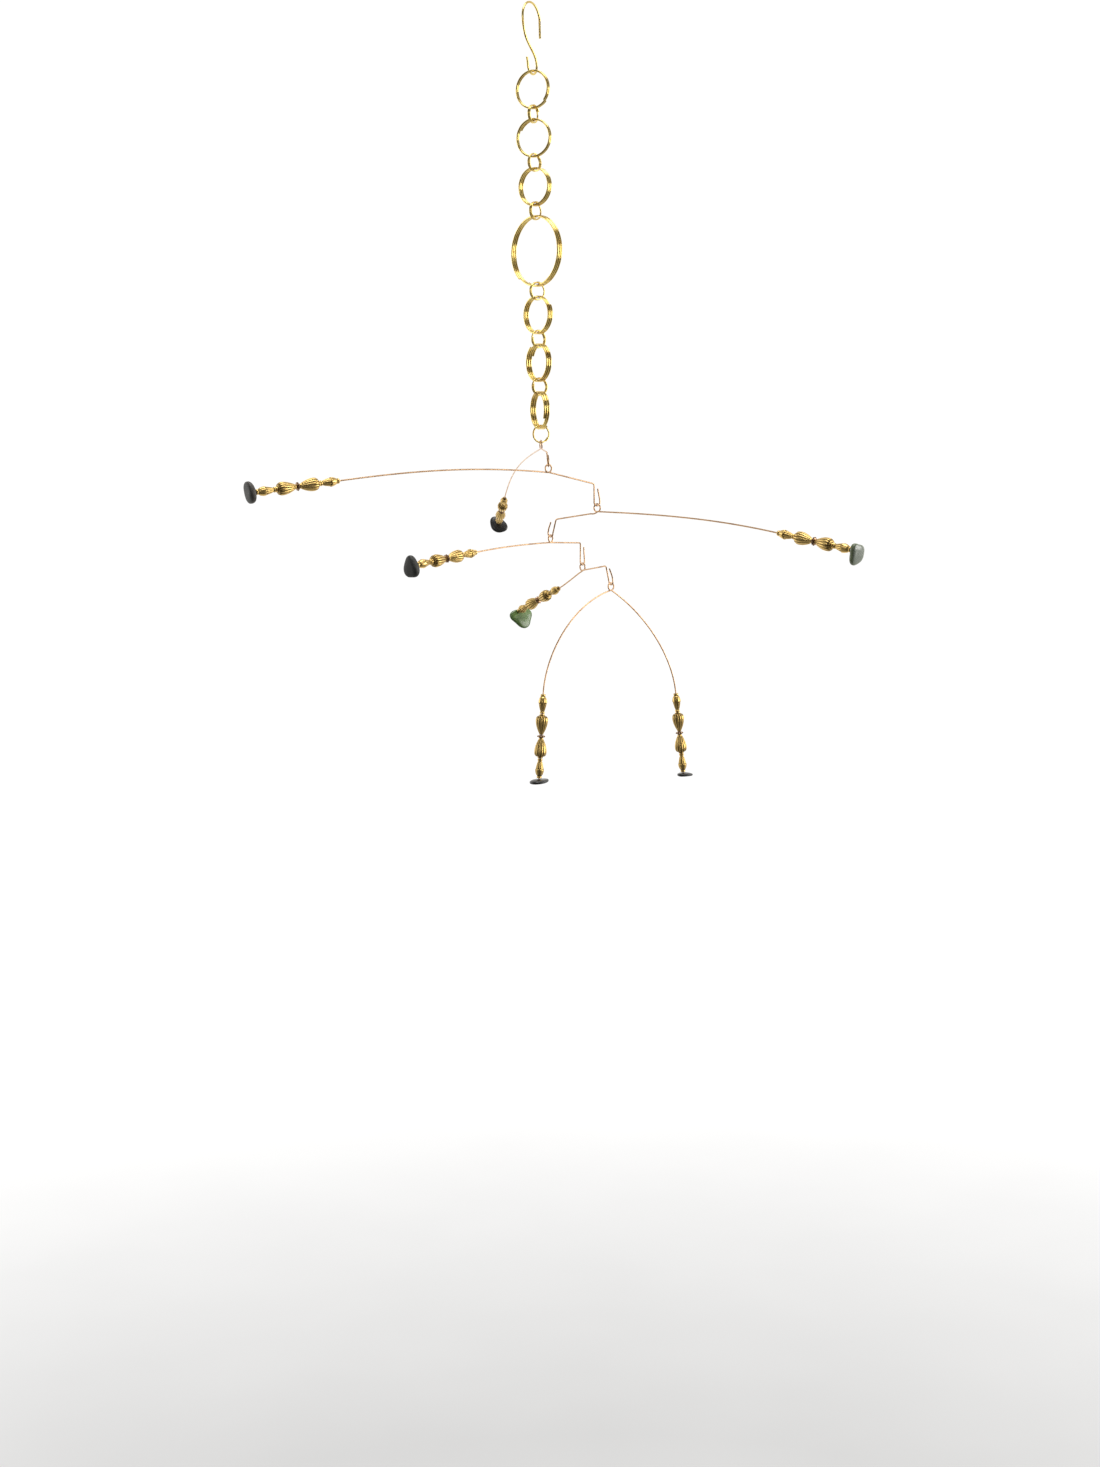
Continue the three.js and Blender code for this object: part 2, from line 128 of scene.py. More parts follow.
def new_object(name, verts, faces, material, attributes=None, sharp=35):
    """A smooth-shaded object from points in metres, with optional per-point attributes."""
    mesh = bpy.data.meshes.new(name)
    mesh.from_pydata([tuple(v) for v in verts], [], faces)
    mesh.polygons.foreach_set("use_smooth", [True] * len(mesh.polygons))
    if sharp:
        mesh.set_sharp_from_angle(angle=math.radians(sharp))
    for key, values in (attributes or {}).items():
        values = np.asarray(values, float)
        kind = "FLOAT_VECTOR" if values.ndim == 2 else "FLOAT"
        layer = mesh.attributes.new(key, kind, "POINT")
        layer.data.foreach_set("vector" if values.ndim == 2 else "value", values.ravel())
    mesh.materials.append(material)
    mesh.update()
    thing = bpy.data.objects.new(name, mesh)
    bpy.context.scene.collection.objects.link(thing)
    return thing


def quads(rings, sides):
    """Four-sided faces between each ring of points and the next."""
    faces = []
    for k in range(rings - 1):
        for s in range(sides):
            t = (s + 1) % sides
            faces.append((k * sides + s, k * sides + t, (k + 1) * sides + t, (k + 1) * sides + s))
    return faces


def inside_out(faces):
    """The same four-sided faces, looking the other way."""
    return [(a, d, c, b) for a, b, c, d in faces]


def tube(points, diameter, sides):
    """Round wire along the points: a cut face at each end with a small bevel."""
    p = np.asarray(points, float)
    keep = np.r_[True, np.linalg.norm(np.diff(p, axis=0), axis=1) > 1e-6]
    p = p[keep]
    seg = np.diff(p, axis=0)
    seg /= np.linalg.norm(seg, axis=1)[:, None]
    tangent = np.vstack([seg[:1], seg[:-1] + seg[1:], seg[-1:]])
    tangent /= np.linalg.norm(tangent, axis=1)[:, None]
    ref = np.array([0.0, 0, 1]) if abs(tangent[0][2]) < 0.9 else np.array([1.0, 0, 0])
    normal = [np.cross(tangent[0], ref)]
    normal[0] /= np.linalg.norm(normal[0])
    for a, b in zip(tangent[:-1], tangent[1:]):
        n = normal[-1] - b * np.dot(normal[-1], b)
        normal.append(n / np.linalg.norm(n))
    normal = np.array(normal)
    binormal = np.cross(tangent, normal)
    radius = diameter / 2
    bevel = radius * WIRE_BEVEL
    length = np.r_[0, np.cumsum(np.linalg.norm(np.diff(p, axis=0), axis=1))]
    angles = np.arange(sides) * 2 * math.pi / sides
    across, beside = np.cos(angles)[:, None], np.sin(angles)[:, None]
    rings, lay = [], []

    def put(i, shift, r):
        rings.append(p[i] + tangent[i] * shift + r * (across * normal[i] + beside * binormal[i]))
        lay.append(np.c_[across, beside, np.full(sides, (length[i] + shift) / LAY_UNIT)])

    put(0, 0, radius - bevel)
    put(0, bevel, radius)
    for i in range(1, len(p) - 1):
        put(i, 0, radius)
    put(-1, -bevel, radius)
    put(-1, 0, radius - bevel)
    verts = np.vstack(rings + [p[:1], p[-1:]])
    lay = np.vstack(lay + [[[0, 0, 0]], [[0, 0, length[-1] / LAY_UNIT]]])
    faces = quads(len(rings), sides)
    first_middle, last = len(rings) * sides, (len(rings) - 1) * sides
    for s in range(sides):
        t = (s + 1) % sides
        faces.append((first_middle, t, s))
        faces.append((first_middle + 1, last + s, last + t))
    return verts, faces, lay


def lathe(profile, sides, shape):
    """Rings of (along, radius); shape(theta, along, radius) gives a ring's radii and darkness."""
    theta = np.arange(sides) * 2 * math.pi / sides
    verts, recess = [], []
    for along, radius in profile:
        r, dark = shape(theta, along, radius)
        verts.append(np.c_[r * np.cos(theta), r * np.sin(theta), np.full(sides, along)])
        recess.append(dark)
    faces = quads(len(profile), sides)
    last = (len(profile) - 1) * sides
    for s in range(sides):  # the bore's wall closes the shape
        t = (s + 1) % sides
        faces.append((last + s, last + t, t, s))
    return np.vstack(verts), faces, np.concatenate(recess)


def spline(knots, count):
    """Smooth profile through the knots, without overshoot (monotone cubic in the first value)."""
    k = np.asarray(knots, float)
    x, y = k[:, 0], k[:, 1]
    h = np.diff(x)
    d = np.diff(y) / h
    m = np.zeros(len(x))
    m[0], m[-1] = d[0], d[-1]
    for i in range(1, len(x) - 1):
        if d[i - 1] * d[i] > 0:
            w1, w2 = 2 * h[i] + h[i - 1], h[i] + 2 * h[i - 1]
            m[i] = (w1 + w2) / (w1 / d[i - 1] + w2 / d[i])
    arc = np.r_[0, np.cumsum(np.hypot(h, np.diff(y)))]
    out = []
    for s in np.linspace(0, arc[-1], count):
        i = min(np.searchsorted(arc, s, side="right") - 1, len(h) - 1)
        t = (s - arc[i]) / (arc[i + 1] - arc[i])
        h00, h10 = 2 * t**3 - 3 * t**2 + 1, t**3 - 2 * t**2 + t
        h01, h11 = -2 * t**3 + 3 * t**2, t**3 - t**2
        yy = h00 * y[i] + h10 * h[i] * m[i] + h01 * y[i + 1] + h11 * h[i] * m[i + 1]
        out.append((x[i] + t * h[i], yy))
    return out


def moved(points, matrix):
    """Points in millimetres of a local frame to metres of the row frame."""
    m = np.array(matrix)
    return (np.asarray(points) @ m[:3, :3].T + m[:3, 3]) * MM


def turned(degrees, place=(0, 0, 0)):
    return Matrix.Translation(place) @ Matrix.Rotation(math.radians(degrees), 4, "Z")


def smooth_noise(phase, waves, seed):
    """A periodic wobble of unit size."""
    rng = random.Random(seed)
    total = 0 * phase
    for k in waves:
        total = total + np.sin(k * phase + rng.uniform(0, 2 * math.pi)) / len(waves)
    return total


def rise(value, start, width):
    """0 up to start, 1 from start + width on."""
    return np.clip((value - start) / width, 0, 1)


def line_at(value, place, width):
    """1 at the place, fading on both sides."""
    return np.exp(-((value - place) / width) ** 2)


def unit(vector):
    return vector / np.linalg.norm(vector)


def curve(a, b, c, t):
    """Quadratic curve from a towards b to c."""
    return (1 - t) ** 2 * a + 2 * (1 - t) * t * b + t**2 * c


# ---------------------------------------------------------------- materials
BLACK, WHITE = (0, 0, 0), (1, 1, 1)


def nodes_of(name):
    material = bpy.data.materials.new(name)
    material.use_nodes = True
    tree = material.node_tree
    shader = tree.nodes["Principled BSDF"]
    return material, tree, shader


def node(tree, kind, values=None, **settings):
    made = tree.nodes.new(kind)
    for key, value in settings.items():
        setattr(made, key, value)
    for key, value in (values or {}).items():
        made.inputs[key].default_value = value
    return made


def ramp(tree, source, stops):
    made = tree.nodes.new("ShaderNodeValToRGB")
    elements = made.color_ramp.elements
    while len(elements) < len(stops):
        elements.new(0.5)
    for element, (position, colour) in zip(elements, stops):
        element.position = position
        element.color = (*colour, 1)
    tree.links.new(source, made.inputs["Fac"])
    return made.outputs["Color"]


def ranged(tree, source, after, before=(0, 1)):
    """The source moved from the range before to the range after, both (low, high)."""
    made = node(tree, "ShaderNodeMapRange", {"From Min": before[0], "From Max": before[1],
                                             "To Min": after[0], "To Max": after[1]})
    tree.links.new(source, made.inputs["Value"])
    return made.outputs["Result"]


def mixed(tree, factor, a, b):
    made = node(tree, "ShaderNodeMix", data_type="RGBA")
    for key, value in (("Factor", factor), ("A", a), ("B", b)):
        socket = made.inputs[key]
        if isinstance(value, bpy.types.NodeSocket):
            tree.links.new(value, socket)
        elif isinstance(value, tuple):
            socket.default_value = (*value, 1)
        else:
            socket.default_value = value
    return made.outputs["Result"]


def noise(tree, vector, scale, detail, rough=0.5):
    made = node(tree, "ShaderNodeTexNoise", {"Scale": scale, "Detail": detail, "Roughness": rough})
    tree.links.new(vector, made.inputs["Vector"])
    return made.outputs["Fac"]


def bump(tree, shader, height, strength, distance):
    made = node(tree, "ShaderNodeBump", {"Strength": strength, "Distance": distance})
    tree.links.new(height, made.inputs["Height"])
    tree.links.new(made.outputs["Normal"], shader.inputs["Normal"])


def drawn_wire(name, pale, deep, tarnish, rough, specks):
    """Drawn metal: fine lines along the wire, patches of tarnish, a few darker specks."""
    speck_colour = (0.16, 0.09, 0.04)
    material, tree, shader = nodes_of(name)
    shader.inputs["Metallic"].default_value = 1
    lay = node(tree, "ShaderNodeAttribute", attribute_name="lay").outputs["Vector"]
    place = node(tree, "ShaderNodeTexCoord").outputs["Object"]
    stretch = node(tree, "ShaderNodeMapping", {"Scale": (5, 5, 0.6)})
    tree.links.new(lay, stretch.inputs["Vector"])
    lines = noise(tree, stretch.outputs["Vector"], scale=2.2, detail=4)
    patches = noise(tree, place, scale=90, detail=3)
    dots = noise(tree, place, scale=900, detail=2)
    base = ramp(tree, lines, [(0.3, deep), (0.62, pale)])
    worn = mixed(tree, ramp(tree, patches, [(0.48, BLACK), (0.72, WHITE)]), base, tarnish)
    speck = ramp(tree, dots, [(0.3, (specks,) * 3), (0.37, BLACK)])
    tree.links.new(mixed(tree, speck, worn, speck_colour), shader.inputs["Base Color"])
    tree.links.new(ranged(tree, patches, rough), shader.inputs["Roughness"])
    bump(tree, shader, lines, strength=0.12, distance=0.0002)
    return material


def cast_metal(name, pale, deep, dark, rough):
    """Cast metal: bright on the high places, brown where the recess attribute is high, which is
    partly painted shade.
    """
    unevenness = 0.12
    material, tree, shader = nodes_of(name)
    shader.inputs["Metallic"].default_value = 1
    sunk = node(tree, "ShaderNodeAttribute", attribute_name="recess").outputs["Fac"]
    place = node(tree, "ShaderNodeTexCoord").outputs["Object"]
    patches = noise(tree, place, scale=120, detail=3)
    grain = noise(tree, place, scale=1500, detail=2)
    gold = ramp(tree, patches, [(0.25, deep), (0.75, pale)])
    broken = node(tree, "ShaderNodeMath", {1: unevenness}, operation="MULTIPLY_ADD")
    tree.links.new(patches, broken.inputs[0])
    tree.links.new(sunk, broken.inputs[2])
    # the recess attribute darkens the colour: darker in the grooves, and painted shade at the beads'
    # ends, under the cap's edge and round the drop's wide end
    depth = ramp(tree, broken.outputs[0], [(0.16, BLACK), (0.75, WHITE)])
    tree.links.new(mixed(tree, depth, gold, dark), shader.inputs["Base Color"])
    tree.links.new(ranged(tree, broken.outputs[0], rough), shader.inputs["Roughness"])
    bump(tree, shader, grain, strength=0.05, distance=0.00005)
    return material


def pebble(name, dark, light, rim, speckle, rough, coat=0.0, glow=None):
    """Stone: clouded colour, fine mineral specks, and a colour of its own round the rim."""
    material, tree, shader = nodes_of(name)
    place = node(tree, "ShaderNodeTexCoord").outputs["Object"]
    cloud = noise(tree, place, scale=160, detail=5, rough=0.6)
    fine = noise(tree, place, scale=2200, detail=3, rough=0.7)
    at_rim = node(tree, "ShaderNodeAttribute", attribute_name="recess").outputs["Fac"]
    base = ramp(tree, cloud, [(0.35, dark), (0.7, light)])
    spots = ramp(tree, fine, [(0.6, BLACK), (0.78, (0.35,) * 3)])
    body = mixed(tree, spots, base, speckle)
    tree.links.new(mixed(tree, at_rim, body, rim), shader.inputs["Base Color"])
    tree.links.new(ranged(tree, cloud, rough), shader.inputs["Roughness"])
    shader.inputs["Coat Weight"].default_value = coat
    shader.inputs["Coat Roughness"].default_value = 0.12
    if glow:
        weight, radius, scale = glow
        shader.inputs["Subsurface Weight"].default_value = weight
        shader.inputs["Subsurface Radius"].default_value = radius
        shader.inputs["Subsurface Scale"].default_value = scale
    bump(tree, shader, cloud, strength=0.15, distance=0.0003)
    return material


BRASS = drawn_wire("yellow_brass_wire", pale=(0.86, 0.68, 0.26), deep=(0.62, 0.46, 0.12),
                   tarnish=(0.5, 0.33, 0.09), rough=(0.12, 0.24), specks=0.5)
BRONZE = drawn_wire("bronze_wire", pale=(0.66, 0.43, 0.25), deep=(0.45, 0.28, 0.14),
                    tarnish=(0.36, 0.21, 0.11), rough=(0.2, 0.34), specks=0.35)
# the beads' brown places are partly painted shade
CAST = cast_metal("cast_gold_bead_painted_shade", pale=(0.76, 0.54, 0.2), deep=(0.68, 0.46, 0.15),
                  dark=(0.09, 0.05, 0.014), rough=(0.3, 0.5))
DAISY = cast_metal("dark_copper_spacer", pale=(0.5, 0.34, 0.22), deep=(0.3, 0.18, 0.11),
                   dark=(0.05, 0.025, 0.012), rough=(0.25, 0.55))
SMOOTH_BLACK = pebble("black_pebble", dark=(0.012, 0.012, 0.012), light=(0.035, 0.035, 0.033),
                      rim=(0.014, 0.013, 0.012), speckle=(0.05, 0.05, 0.045),
                      rough=(0.3, 0.45), coat=0.1)
ROUGH_BLACK = pebble("dark_rough_pebble", dark=(0.02, 0.021, 0.019), light=(0.038, 0.04, 0.035),
                     rim=(0.03, 0.03, 0.027), speckle=(0.06, 0.06, 0.055), rough=(0.5, 0.7))
GREY = pebble("grey_slate", dark=(0.035, 0.036, 0.033), light=(0.065, 0.066, 0.061),
              rim=(0.06, 0.05, 0.042), speckle=(0.1, 0.1, 0.095), rough=(0.45, 0.65))
# the pale grey-green of its face is a painted reflection; its own green shows as the rim colour
OLIVE = pebble("olive_sea_glass", dark=(0.15, 0.18, 0.14), light=(0.21, 0.235, 0.205),
               rim=(0.1, 0.13, 0.035), speckle=(0.24, 0.27, 0.22), rough=(0.2, 0.34), coat=0.4)
GREEN = pebble("green_sea_glass", dark=(0.085, 0.16, 0.04), light=(0.15, 0.25, 0.075),
               rim=(0.06, 0.115, 0.025), speckle=(0.2, 0.29, 0.12), rough=(0.25, 0.4), coat=0.4,
               glow=(0.3, (0.5, 1.0, 0.3), 0.004))
# each string's stone: its material and its slot
STONE_LOOKS = {
    "arm_1": (SMOOTH_BLACK, "black_stone"),
    "arm_2": (GREY, "grey_stone"),
    "arm_3": (OLIVE, "olive_stone"),
    "arm_4": (ROUGH_BLACK, "black_stone"),
    "arm_5": (GREEN, "green_stone"),
    "arm_6_near": (SMOOTH_BLACK, "black_stone"),
    "arm_6_far": (SMOOTH_BLACK, "black_stone"),
}


def finish_piece(thing, body, slot, *nodes):
    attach(thing, body)
    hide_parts(*nodes)


# ---------------------------------------------------------------- S-hook, coils and links


def arc(centre, radius, start, end, steps):
    a = np.radians(np.linspace(start, end, steps + 1))
    return np.c_[centre[0] + radius * np.cos(a), centre[1] + radius * np.sin(a)]


def sweep(start, start_slope, end, end_slope, pulls, steps):
    """Cubic curve with the slopes in degrees; pulls: how far each slope carries."""
    a, b = math.radians(start_slope), math.radians(end_slope)
    p = np.array([
        start,
        (start[0] + pulls[0] * math.cos(a), start[1] + pulls[0] * math.sin(a)),
        (end[0] - pulls[1] * math.cos(b), end[1] - pulls[1] * math.sin(b)),
        end,
    ])
    t = np.linspace(0, 1, steps + 1)[:, None]
    first_half = (1 - t) ** 3 * p[0] + 3 * (1 - t) ** 2 * t * p[1]
    return first_half + 3 * (1 - t) * t**2 * p[2] + t**3 * p[3]


def upright(places):
    """Places (along, height) of an upright plane as points of space."""
    p = np.asarray(places, float)
    return np.c_[p[:, 0], np.zeros(len(p)), p[:, 1]]


def make_hook():
    # the round wire rests on the same seat as the part's six-sided one
    seat = HOOK_WIRE / 2 * (1 - math.cos(math.pi / 6))
    upper = (0, HOOK_WIRE / 2 - UPPER_BEND - seat)
    lower = (0, LOWER_BEND - LOWER_BEND_DROP)
    back = sweep((UPPER_BEND, -BACK_TIP_DROP), 90, (UPPER_BEND, upper[1]), 90, (5, 5), 6)[:-1]
    shank = sweep((-UPPER_BEND, upper[1]), -90, (LOWER_BEND, lower[1]), -90, (30, 18), 40)[1:]
    foot = arc(lower, LOWER_BEND, 0, -180, 28)[1:]
    end = (-LOWER_BEND - FRONT_TIP_SPLAY, -FRONT_TIP_DROP)
    front = sweep((-LOWER_BEND, lower[1]), 90, end, 98, (2, 2), 6)[1:]
    path = np.vstack([back, arc(upper, UPPER_BEND, 0, 180, 44), shank, foot, front])
    verts, faces, lay = tube(upright(path), HOOK_WIRE, HOOK_SIDES)
    thing = new_object("s_hook_wire", moved(verts, turned(HOOK_TURN)), faces, BRASS, {"lay": lay})
    finish_piece(thing, "hanger", "brass_wire", "s_hook")


def wound(spec, outside, wire, pitch, steps, seed, wobble):
    """Round wire wound like the part's coil, a little uneven as by hand."""
    hand = spec.get("hand", 1)
    n = int(round(spec["rounds"] * steps))
    t = np.arange(n + 1) / steps
    radius = (outside - wire) / 2
    a = math.radians(spec["start"]) + t * hand * 2 * math.pi
    # the end may flare out over its last sixth of a round
    opened = spec.get("flare", 0) * np.clip((t - t[-1]) * 12 + 2, 0, None) ** 2 / 4
    phase = t * 2 * math.pi
    # each round sits a hair inside or beside its neighbours
    r = radius + opened - wobble * (1 + smooth_noise(phase, (0.31, 0.83, 1.7), seed)) / 2
    drift = smooth_noise(phase, (0.47, 1.13, 2.1), seed + 1)
    along = (t - t[-1] / 2) * pitch + 0.6 * wobble * drift
    return np.c_[r * np.cos(a), along, r * np.sin(a)]


def add_wound(name, spec, path, wire, sides):
    path[:, 1] += spec.get("aside", 0)
    verts, faces, lay = tube(path, wire, sides)
    place = turned(spec["turn"], (0, 0, -spec["drop"]))
    thing = new_object(f"{name}_wire", moved(verts, place), faces, BRASS, {"lay": lay})
    finish_piece(thing, "hanger", "brass_wire", name)


def make_chain():
    for i, spec in enumerate(COILS, 1):
        outside = spec.get("outside", SMALL_COIL)
        steps = BIG_COIL_STEPS if outside == BIG_COIL else COIL_STEPS
        path = wound(spec, outside, COIL_WIRE, COIL_PITCH, steps, COIL_SEED + i, COIL_WOBBLE)
        add_wound(f"coil_{i}", spec, path, COIL_WIRE, COIL_SIDES)
    for i, spec in enumerate(LINKS, 1):
        path = wound(spec, LINK_COIL, LINK_WIRE, LINK_PITCH, LINK_STEPS, LINK_SEED + i, LINK_WOBBLE)
        add_wound(f"link_{i}", spec, path, LINK_WIRE, LINK_SIDES)


# ---------------------------------------------------------------- arm wires


def eye_points(centre):
    """One round of wire about the hook, from its foot to its foot, a wire's width over."""
    t = np.linspace(0, 1, 49)
    a = t * 2 * math.pi
    return np.c_[-EYE * np.sin(a), EYE_STEP * (2 * t - 1), centre - EYE * np.cos(a)]


def outward(bottom, half, thick, aside):
    """From the eye's foot to the bead string, through it and into the stone."""
    steps, fade = 90, 18
    run = sweep((0, bottom), half["leave"], half["reach"], half["arrive"], half["pull"], steps)
    out = upright(run)
    out[:, 1] = aside * np.clip(1 - np.arange(steps + 1) / fade, 0, 1) ** 2
    length = STRING_LENGTH + HOLE_DEPTH * thick - GAP
    s = math.radians(half["arrive"])
    end = [half["reach"][0] + length * math.cos(s), 0, half["reach"][1] + length * math.sin(s)]
    return np.vstack([out, [end]])


def short_end(spec, bottom):
    """From the eye's foot past the corner, down to the hook's foot and up to its free tip."""
    corner, hook, tip = (np.array(spec[k], float) for k in ("corner", "hook", "tip"))
    leg_top = hook + [U_BEND, U_BEND]
    entry = np.array(spec.get("dip", (0, bottom)), float)
    before = corner + unit(entry - corner) * CORNER
    after = corner + unit(leg_top - corner) * CORNER
    path = []
    if "dip" in spec:
        dip_rise = np.array([2 * entry[0], entry[1] + 0.8])
        t = np.linspace(0, 1, 13)[1:, None]
        path.append(curve(np.array([0, bottom]), entry, dip_rise, t))
    bend = curve(before, corner, after, np.linspace(0, 1, 9)[:, None])
    foot = arc((hook[0], hook[1] + U_BEND), U_BEND, 0, -180, 24)
    climb = math.degrees(math.atan2(*(tip - foot[-1])[::-1]))
    rise_to_tip = sweep(foot[-1], 90, tip, climb, (5, 4), 12)[1:]
    return np.vstack(path + [bend, foot, rise_to_tip])


def make_arms():
    joints = {j["child"]: [v / MM for v in j["pos_m"]] for j in frame["joints"]}
    fade_length = 12  # over which the short end comes back into the arm's plane
    turn = 0
    for spec in ARMS + [ARCH]:
        turn += spec["turn"]
        name = spec["name"]
        place = turned(turn, joints[name])
        upper = LINK_WIRE if name == "arm_1" else ARM_WIRE
        centre = (upper + ARM_WIRE) / 2 + EYE_GAP - EYE
        bottom = centre - EYE
        if spec is ARCH:
            near = outward(bottom, spec["near"], STONES["arm_6_near"]["thick"], -EYE_STEP)
            far = outward(bottom, spec["far"], STONES["arm_6_far"]["thick"], EYE_STEP) * [-1, 1, 1]
            path = np.vstack([near[::-1], eye_points(centre)[1:], far[1:]])
            strings = [("arm_6_near", 1, spec["near"]), ("arm_6_far", -1, spec["far"])]
        else:
            near = outward(bottom, spec, STONES[name]["thick"], -EYE_STEP)
            short = short_end(spec, bottom)
            fade = np.clip(1 - np.linalg.norm(short - short[0], axis=1) / fade_length, 0, 1)
            short = upright(short)
            short[:, 1] = EYE_STEP * fade
            path = np.vstack([near[::-1], eye_points(centre)[1:], short])
            strings = [(name, 1, spec)]
        verts, faces, lay = tube(path, ARM_WIRE, ARM_SIDES)
        thing = new_object(f"{name}_bent_wire", moved(verts, place), faces, BRONZE, {"lay": lay})
        finish_piece(thing, name, "bronze_wire", f"{name}_wire")
        for prefix, out, half in strings:
            make_string(name, prefix, place, half["reach"], out, half["arrive"])


# ---------------------------------------------------------------- beads and stones


def small_bead():
    """Lantern bead from its outer end: collar, a cap of petals, a ribbed body, ball neck."""
    knots = [(0.05, 1.2), (0.0501, 2.2), (0.5, 2.6), (1.5, 2.6), (2.1, 2.2), (3.2, 2.75),
             (5.0, 3.45), (7.0, 3.95), (8.4, 4.1), (10.0, 3.9), (12.5, 3.4), (15.2, 2.7),
             (16.6, 2.2), (17.1, 1.95), (17.8, 2.5), (18.4, 2.65), (19.0, 2.4), (19.35, 1.8),
             (19.3501, 1.2)]
    petals, ribs = 6, 12
    collar, cap_end, cap_wave, body_end, neck = 2.2, 8.0, 1.1, 16.9, 17.1
    cap_proud, split_depth, rib_depth, bore_end = 0.4, 0.32, 0.42, 0.3

    def shape(theta, along, radius):
        edge = cap_end + cap_wave * np.abs(np.cos(petals * theta / 2)) ** 0.7
        cap = rise(edge - along, 0, 0.35) * rise(along, collar, 1.4)
        body = rise(along - edge, 0, 0.5) * rise(body_end - along, 0, 1.0)
        crease = np.abs(np.sin(petals * theta / 2))
        split = (1 - np.abs(np.cos(petals * theta / 2))) ** 2.5
        rib = (1 - np.abs(np.cos(ribs * theta / 2))) ** 1.2
        r = radius + cap_proud * cap - split_depth * cap * split - rib_depth * body * rib
        # painted shade: a dark line just under the cap's edge, and darker at the collar, at the neck
        # and on the bore's end face; also darker in the cap's splits and between the ribs
        rim = line_at(along - edge, 0.3, 0.3)
        dark = 0.55 * cap * split + 0.95 * body * rib + 0.9 * rim + 0.1 * cap * crease
        dark = dark + 0.8 * line_at(along, collar, 0.4) + 0.6 * line_at(along, neck, 0.35)
        return r, np.clip(dark + 0.5 * (along < bore_end), 0, 1)

    return lathe(spline(knots, 100), 84, shape)


def drop_bead():
    """Fluted drop from its wide outer end to its neck."""
    knots = [(0.05, 1.2), (0.0501, 2.1), (0.3, 2.6), (0.9, 2.7), (1.3, 2.6), (1.7, 3.4), (2.3, 4.7),
             (3.4, 5.6), (4.8, 6.05), (6.4, 6.2), (8.6, 6.05), (11.6, 5.45), (14.6, 4.5),
             (17.2, 3.4), (19.2, 2.4), (20.1, 2.15), (20.5, 1.9), (20.55, 1.2)]
    flutes = 14  # the photograph shows about 18; fewer can be told apart
    flute_start, flute_end, flute_depth = 1.5, 20.2, 0.1
    collar, shoulder, neck = 1.35, 2.6, 20.3

    def shape(theta, along, radius):
        groove = (1 - np.abs(np.sin(theta * flutes / 2))) ** 1.3
        reach = rise(along, flute_start, 1.6) * rise(flute_end - along, 0, 2.0)
        r = radius * (1 - flute_depth * reach * groove)
        # painted shade round the wide end, at the collar and at the neck; also darker in the flutes
        shaded_end = line_at(along, shoulder, 1.1)
        dark = 1.0 * reach * groove**1.1 + 0.4 * shaded_end + 0.8 * line_at(along, collar, 0.3)
        dark = dark + 0.5 * line_at(along, neck, 0.4)
        return r, np.clip(dark, 0, 1)

    return lathe(spline(knots, 64), 180, shape)


def daisy():
    """Flat spacer of round petals about the wire."""
    knots = [(0.02, 1.2), (0.1, 2.2), (0.35, 3.1), (0.8, 3.9), (1.3, 4.25), (1.8, 3.9), (2.25, 3.1),
             (2.5, 2.2), (2.55, 1.2)]
    petals, hub, notch_depth = 9, 2.2, 0.2

    def shape(theta, along, radius):
        lobe = np.abs(np.cos(petals * theta / 2))
        reach = rise(radius, hub, 1.6)
        r = radius * (1 - notch_depth * reach * (1 - lobe) ** 1.2)
        return r, np.clip(0.9 * reach * (1 - lobe), 0, 1)

    return lathe(spline(knots, 26), 108, shape)


def flip(verts, faces, length):
    out = verts.copy()
    out[:, 2] = length - out[:, 2]
    return out, [tuple(reversed(f)) for f in faces]


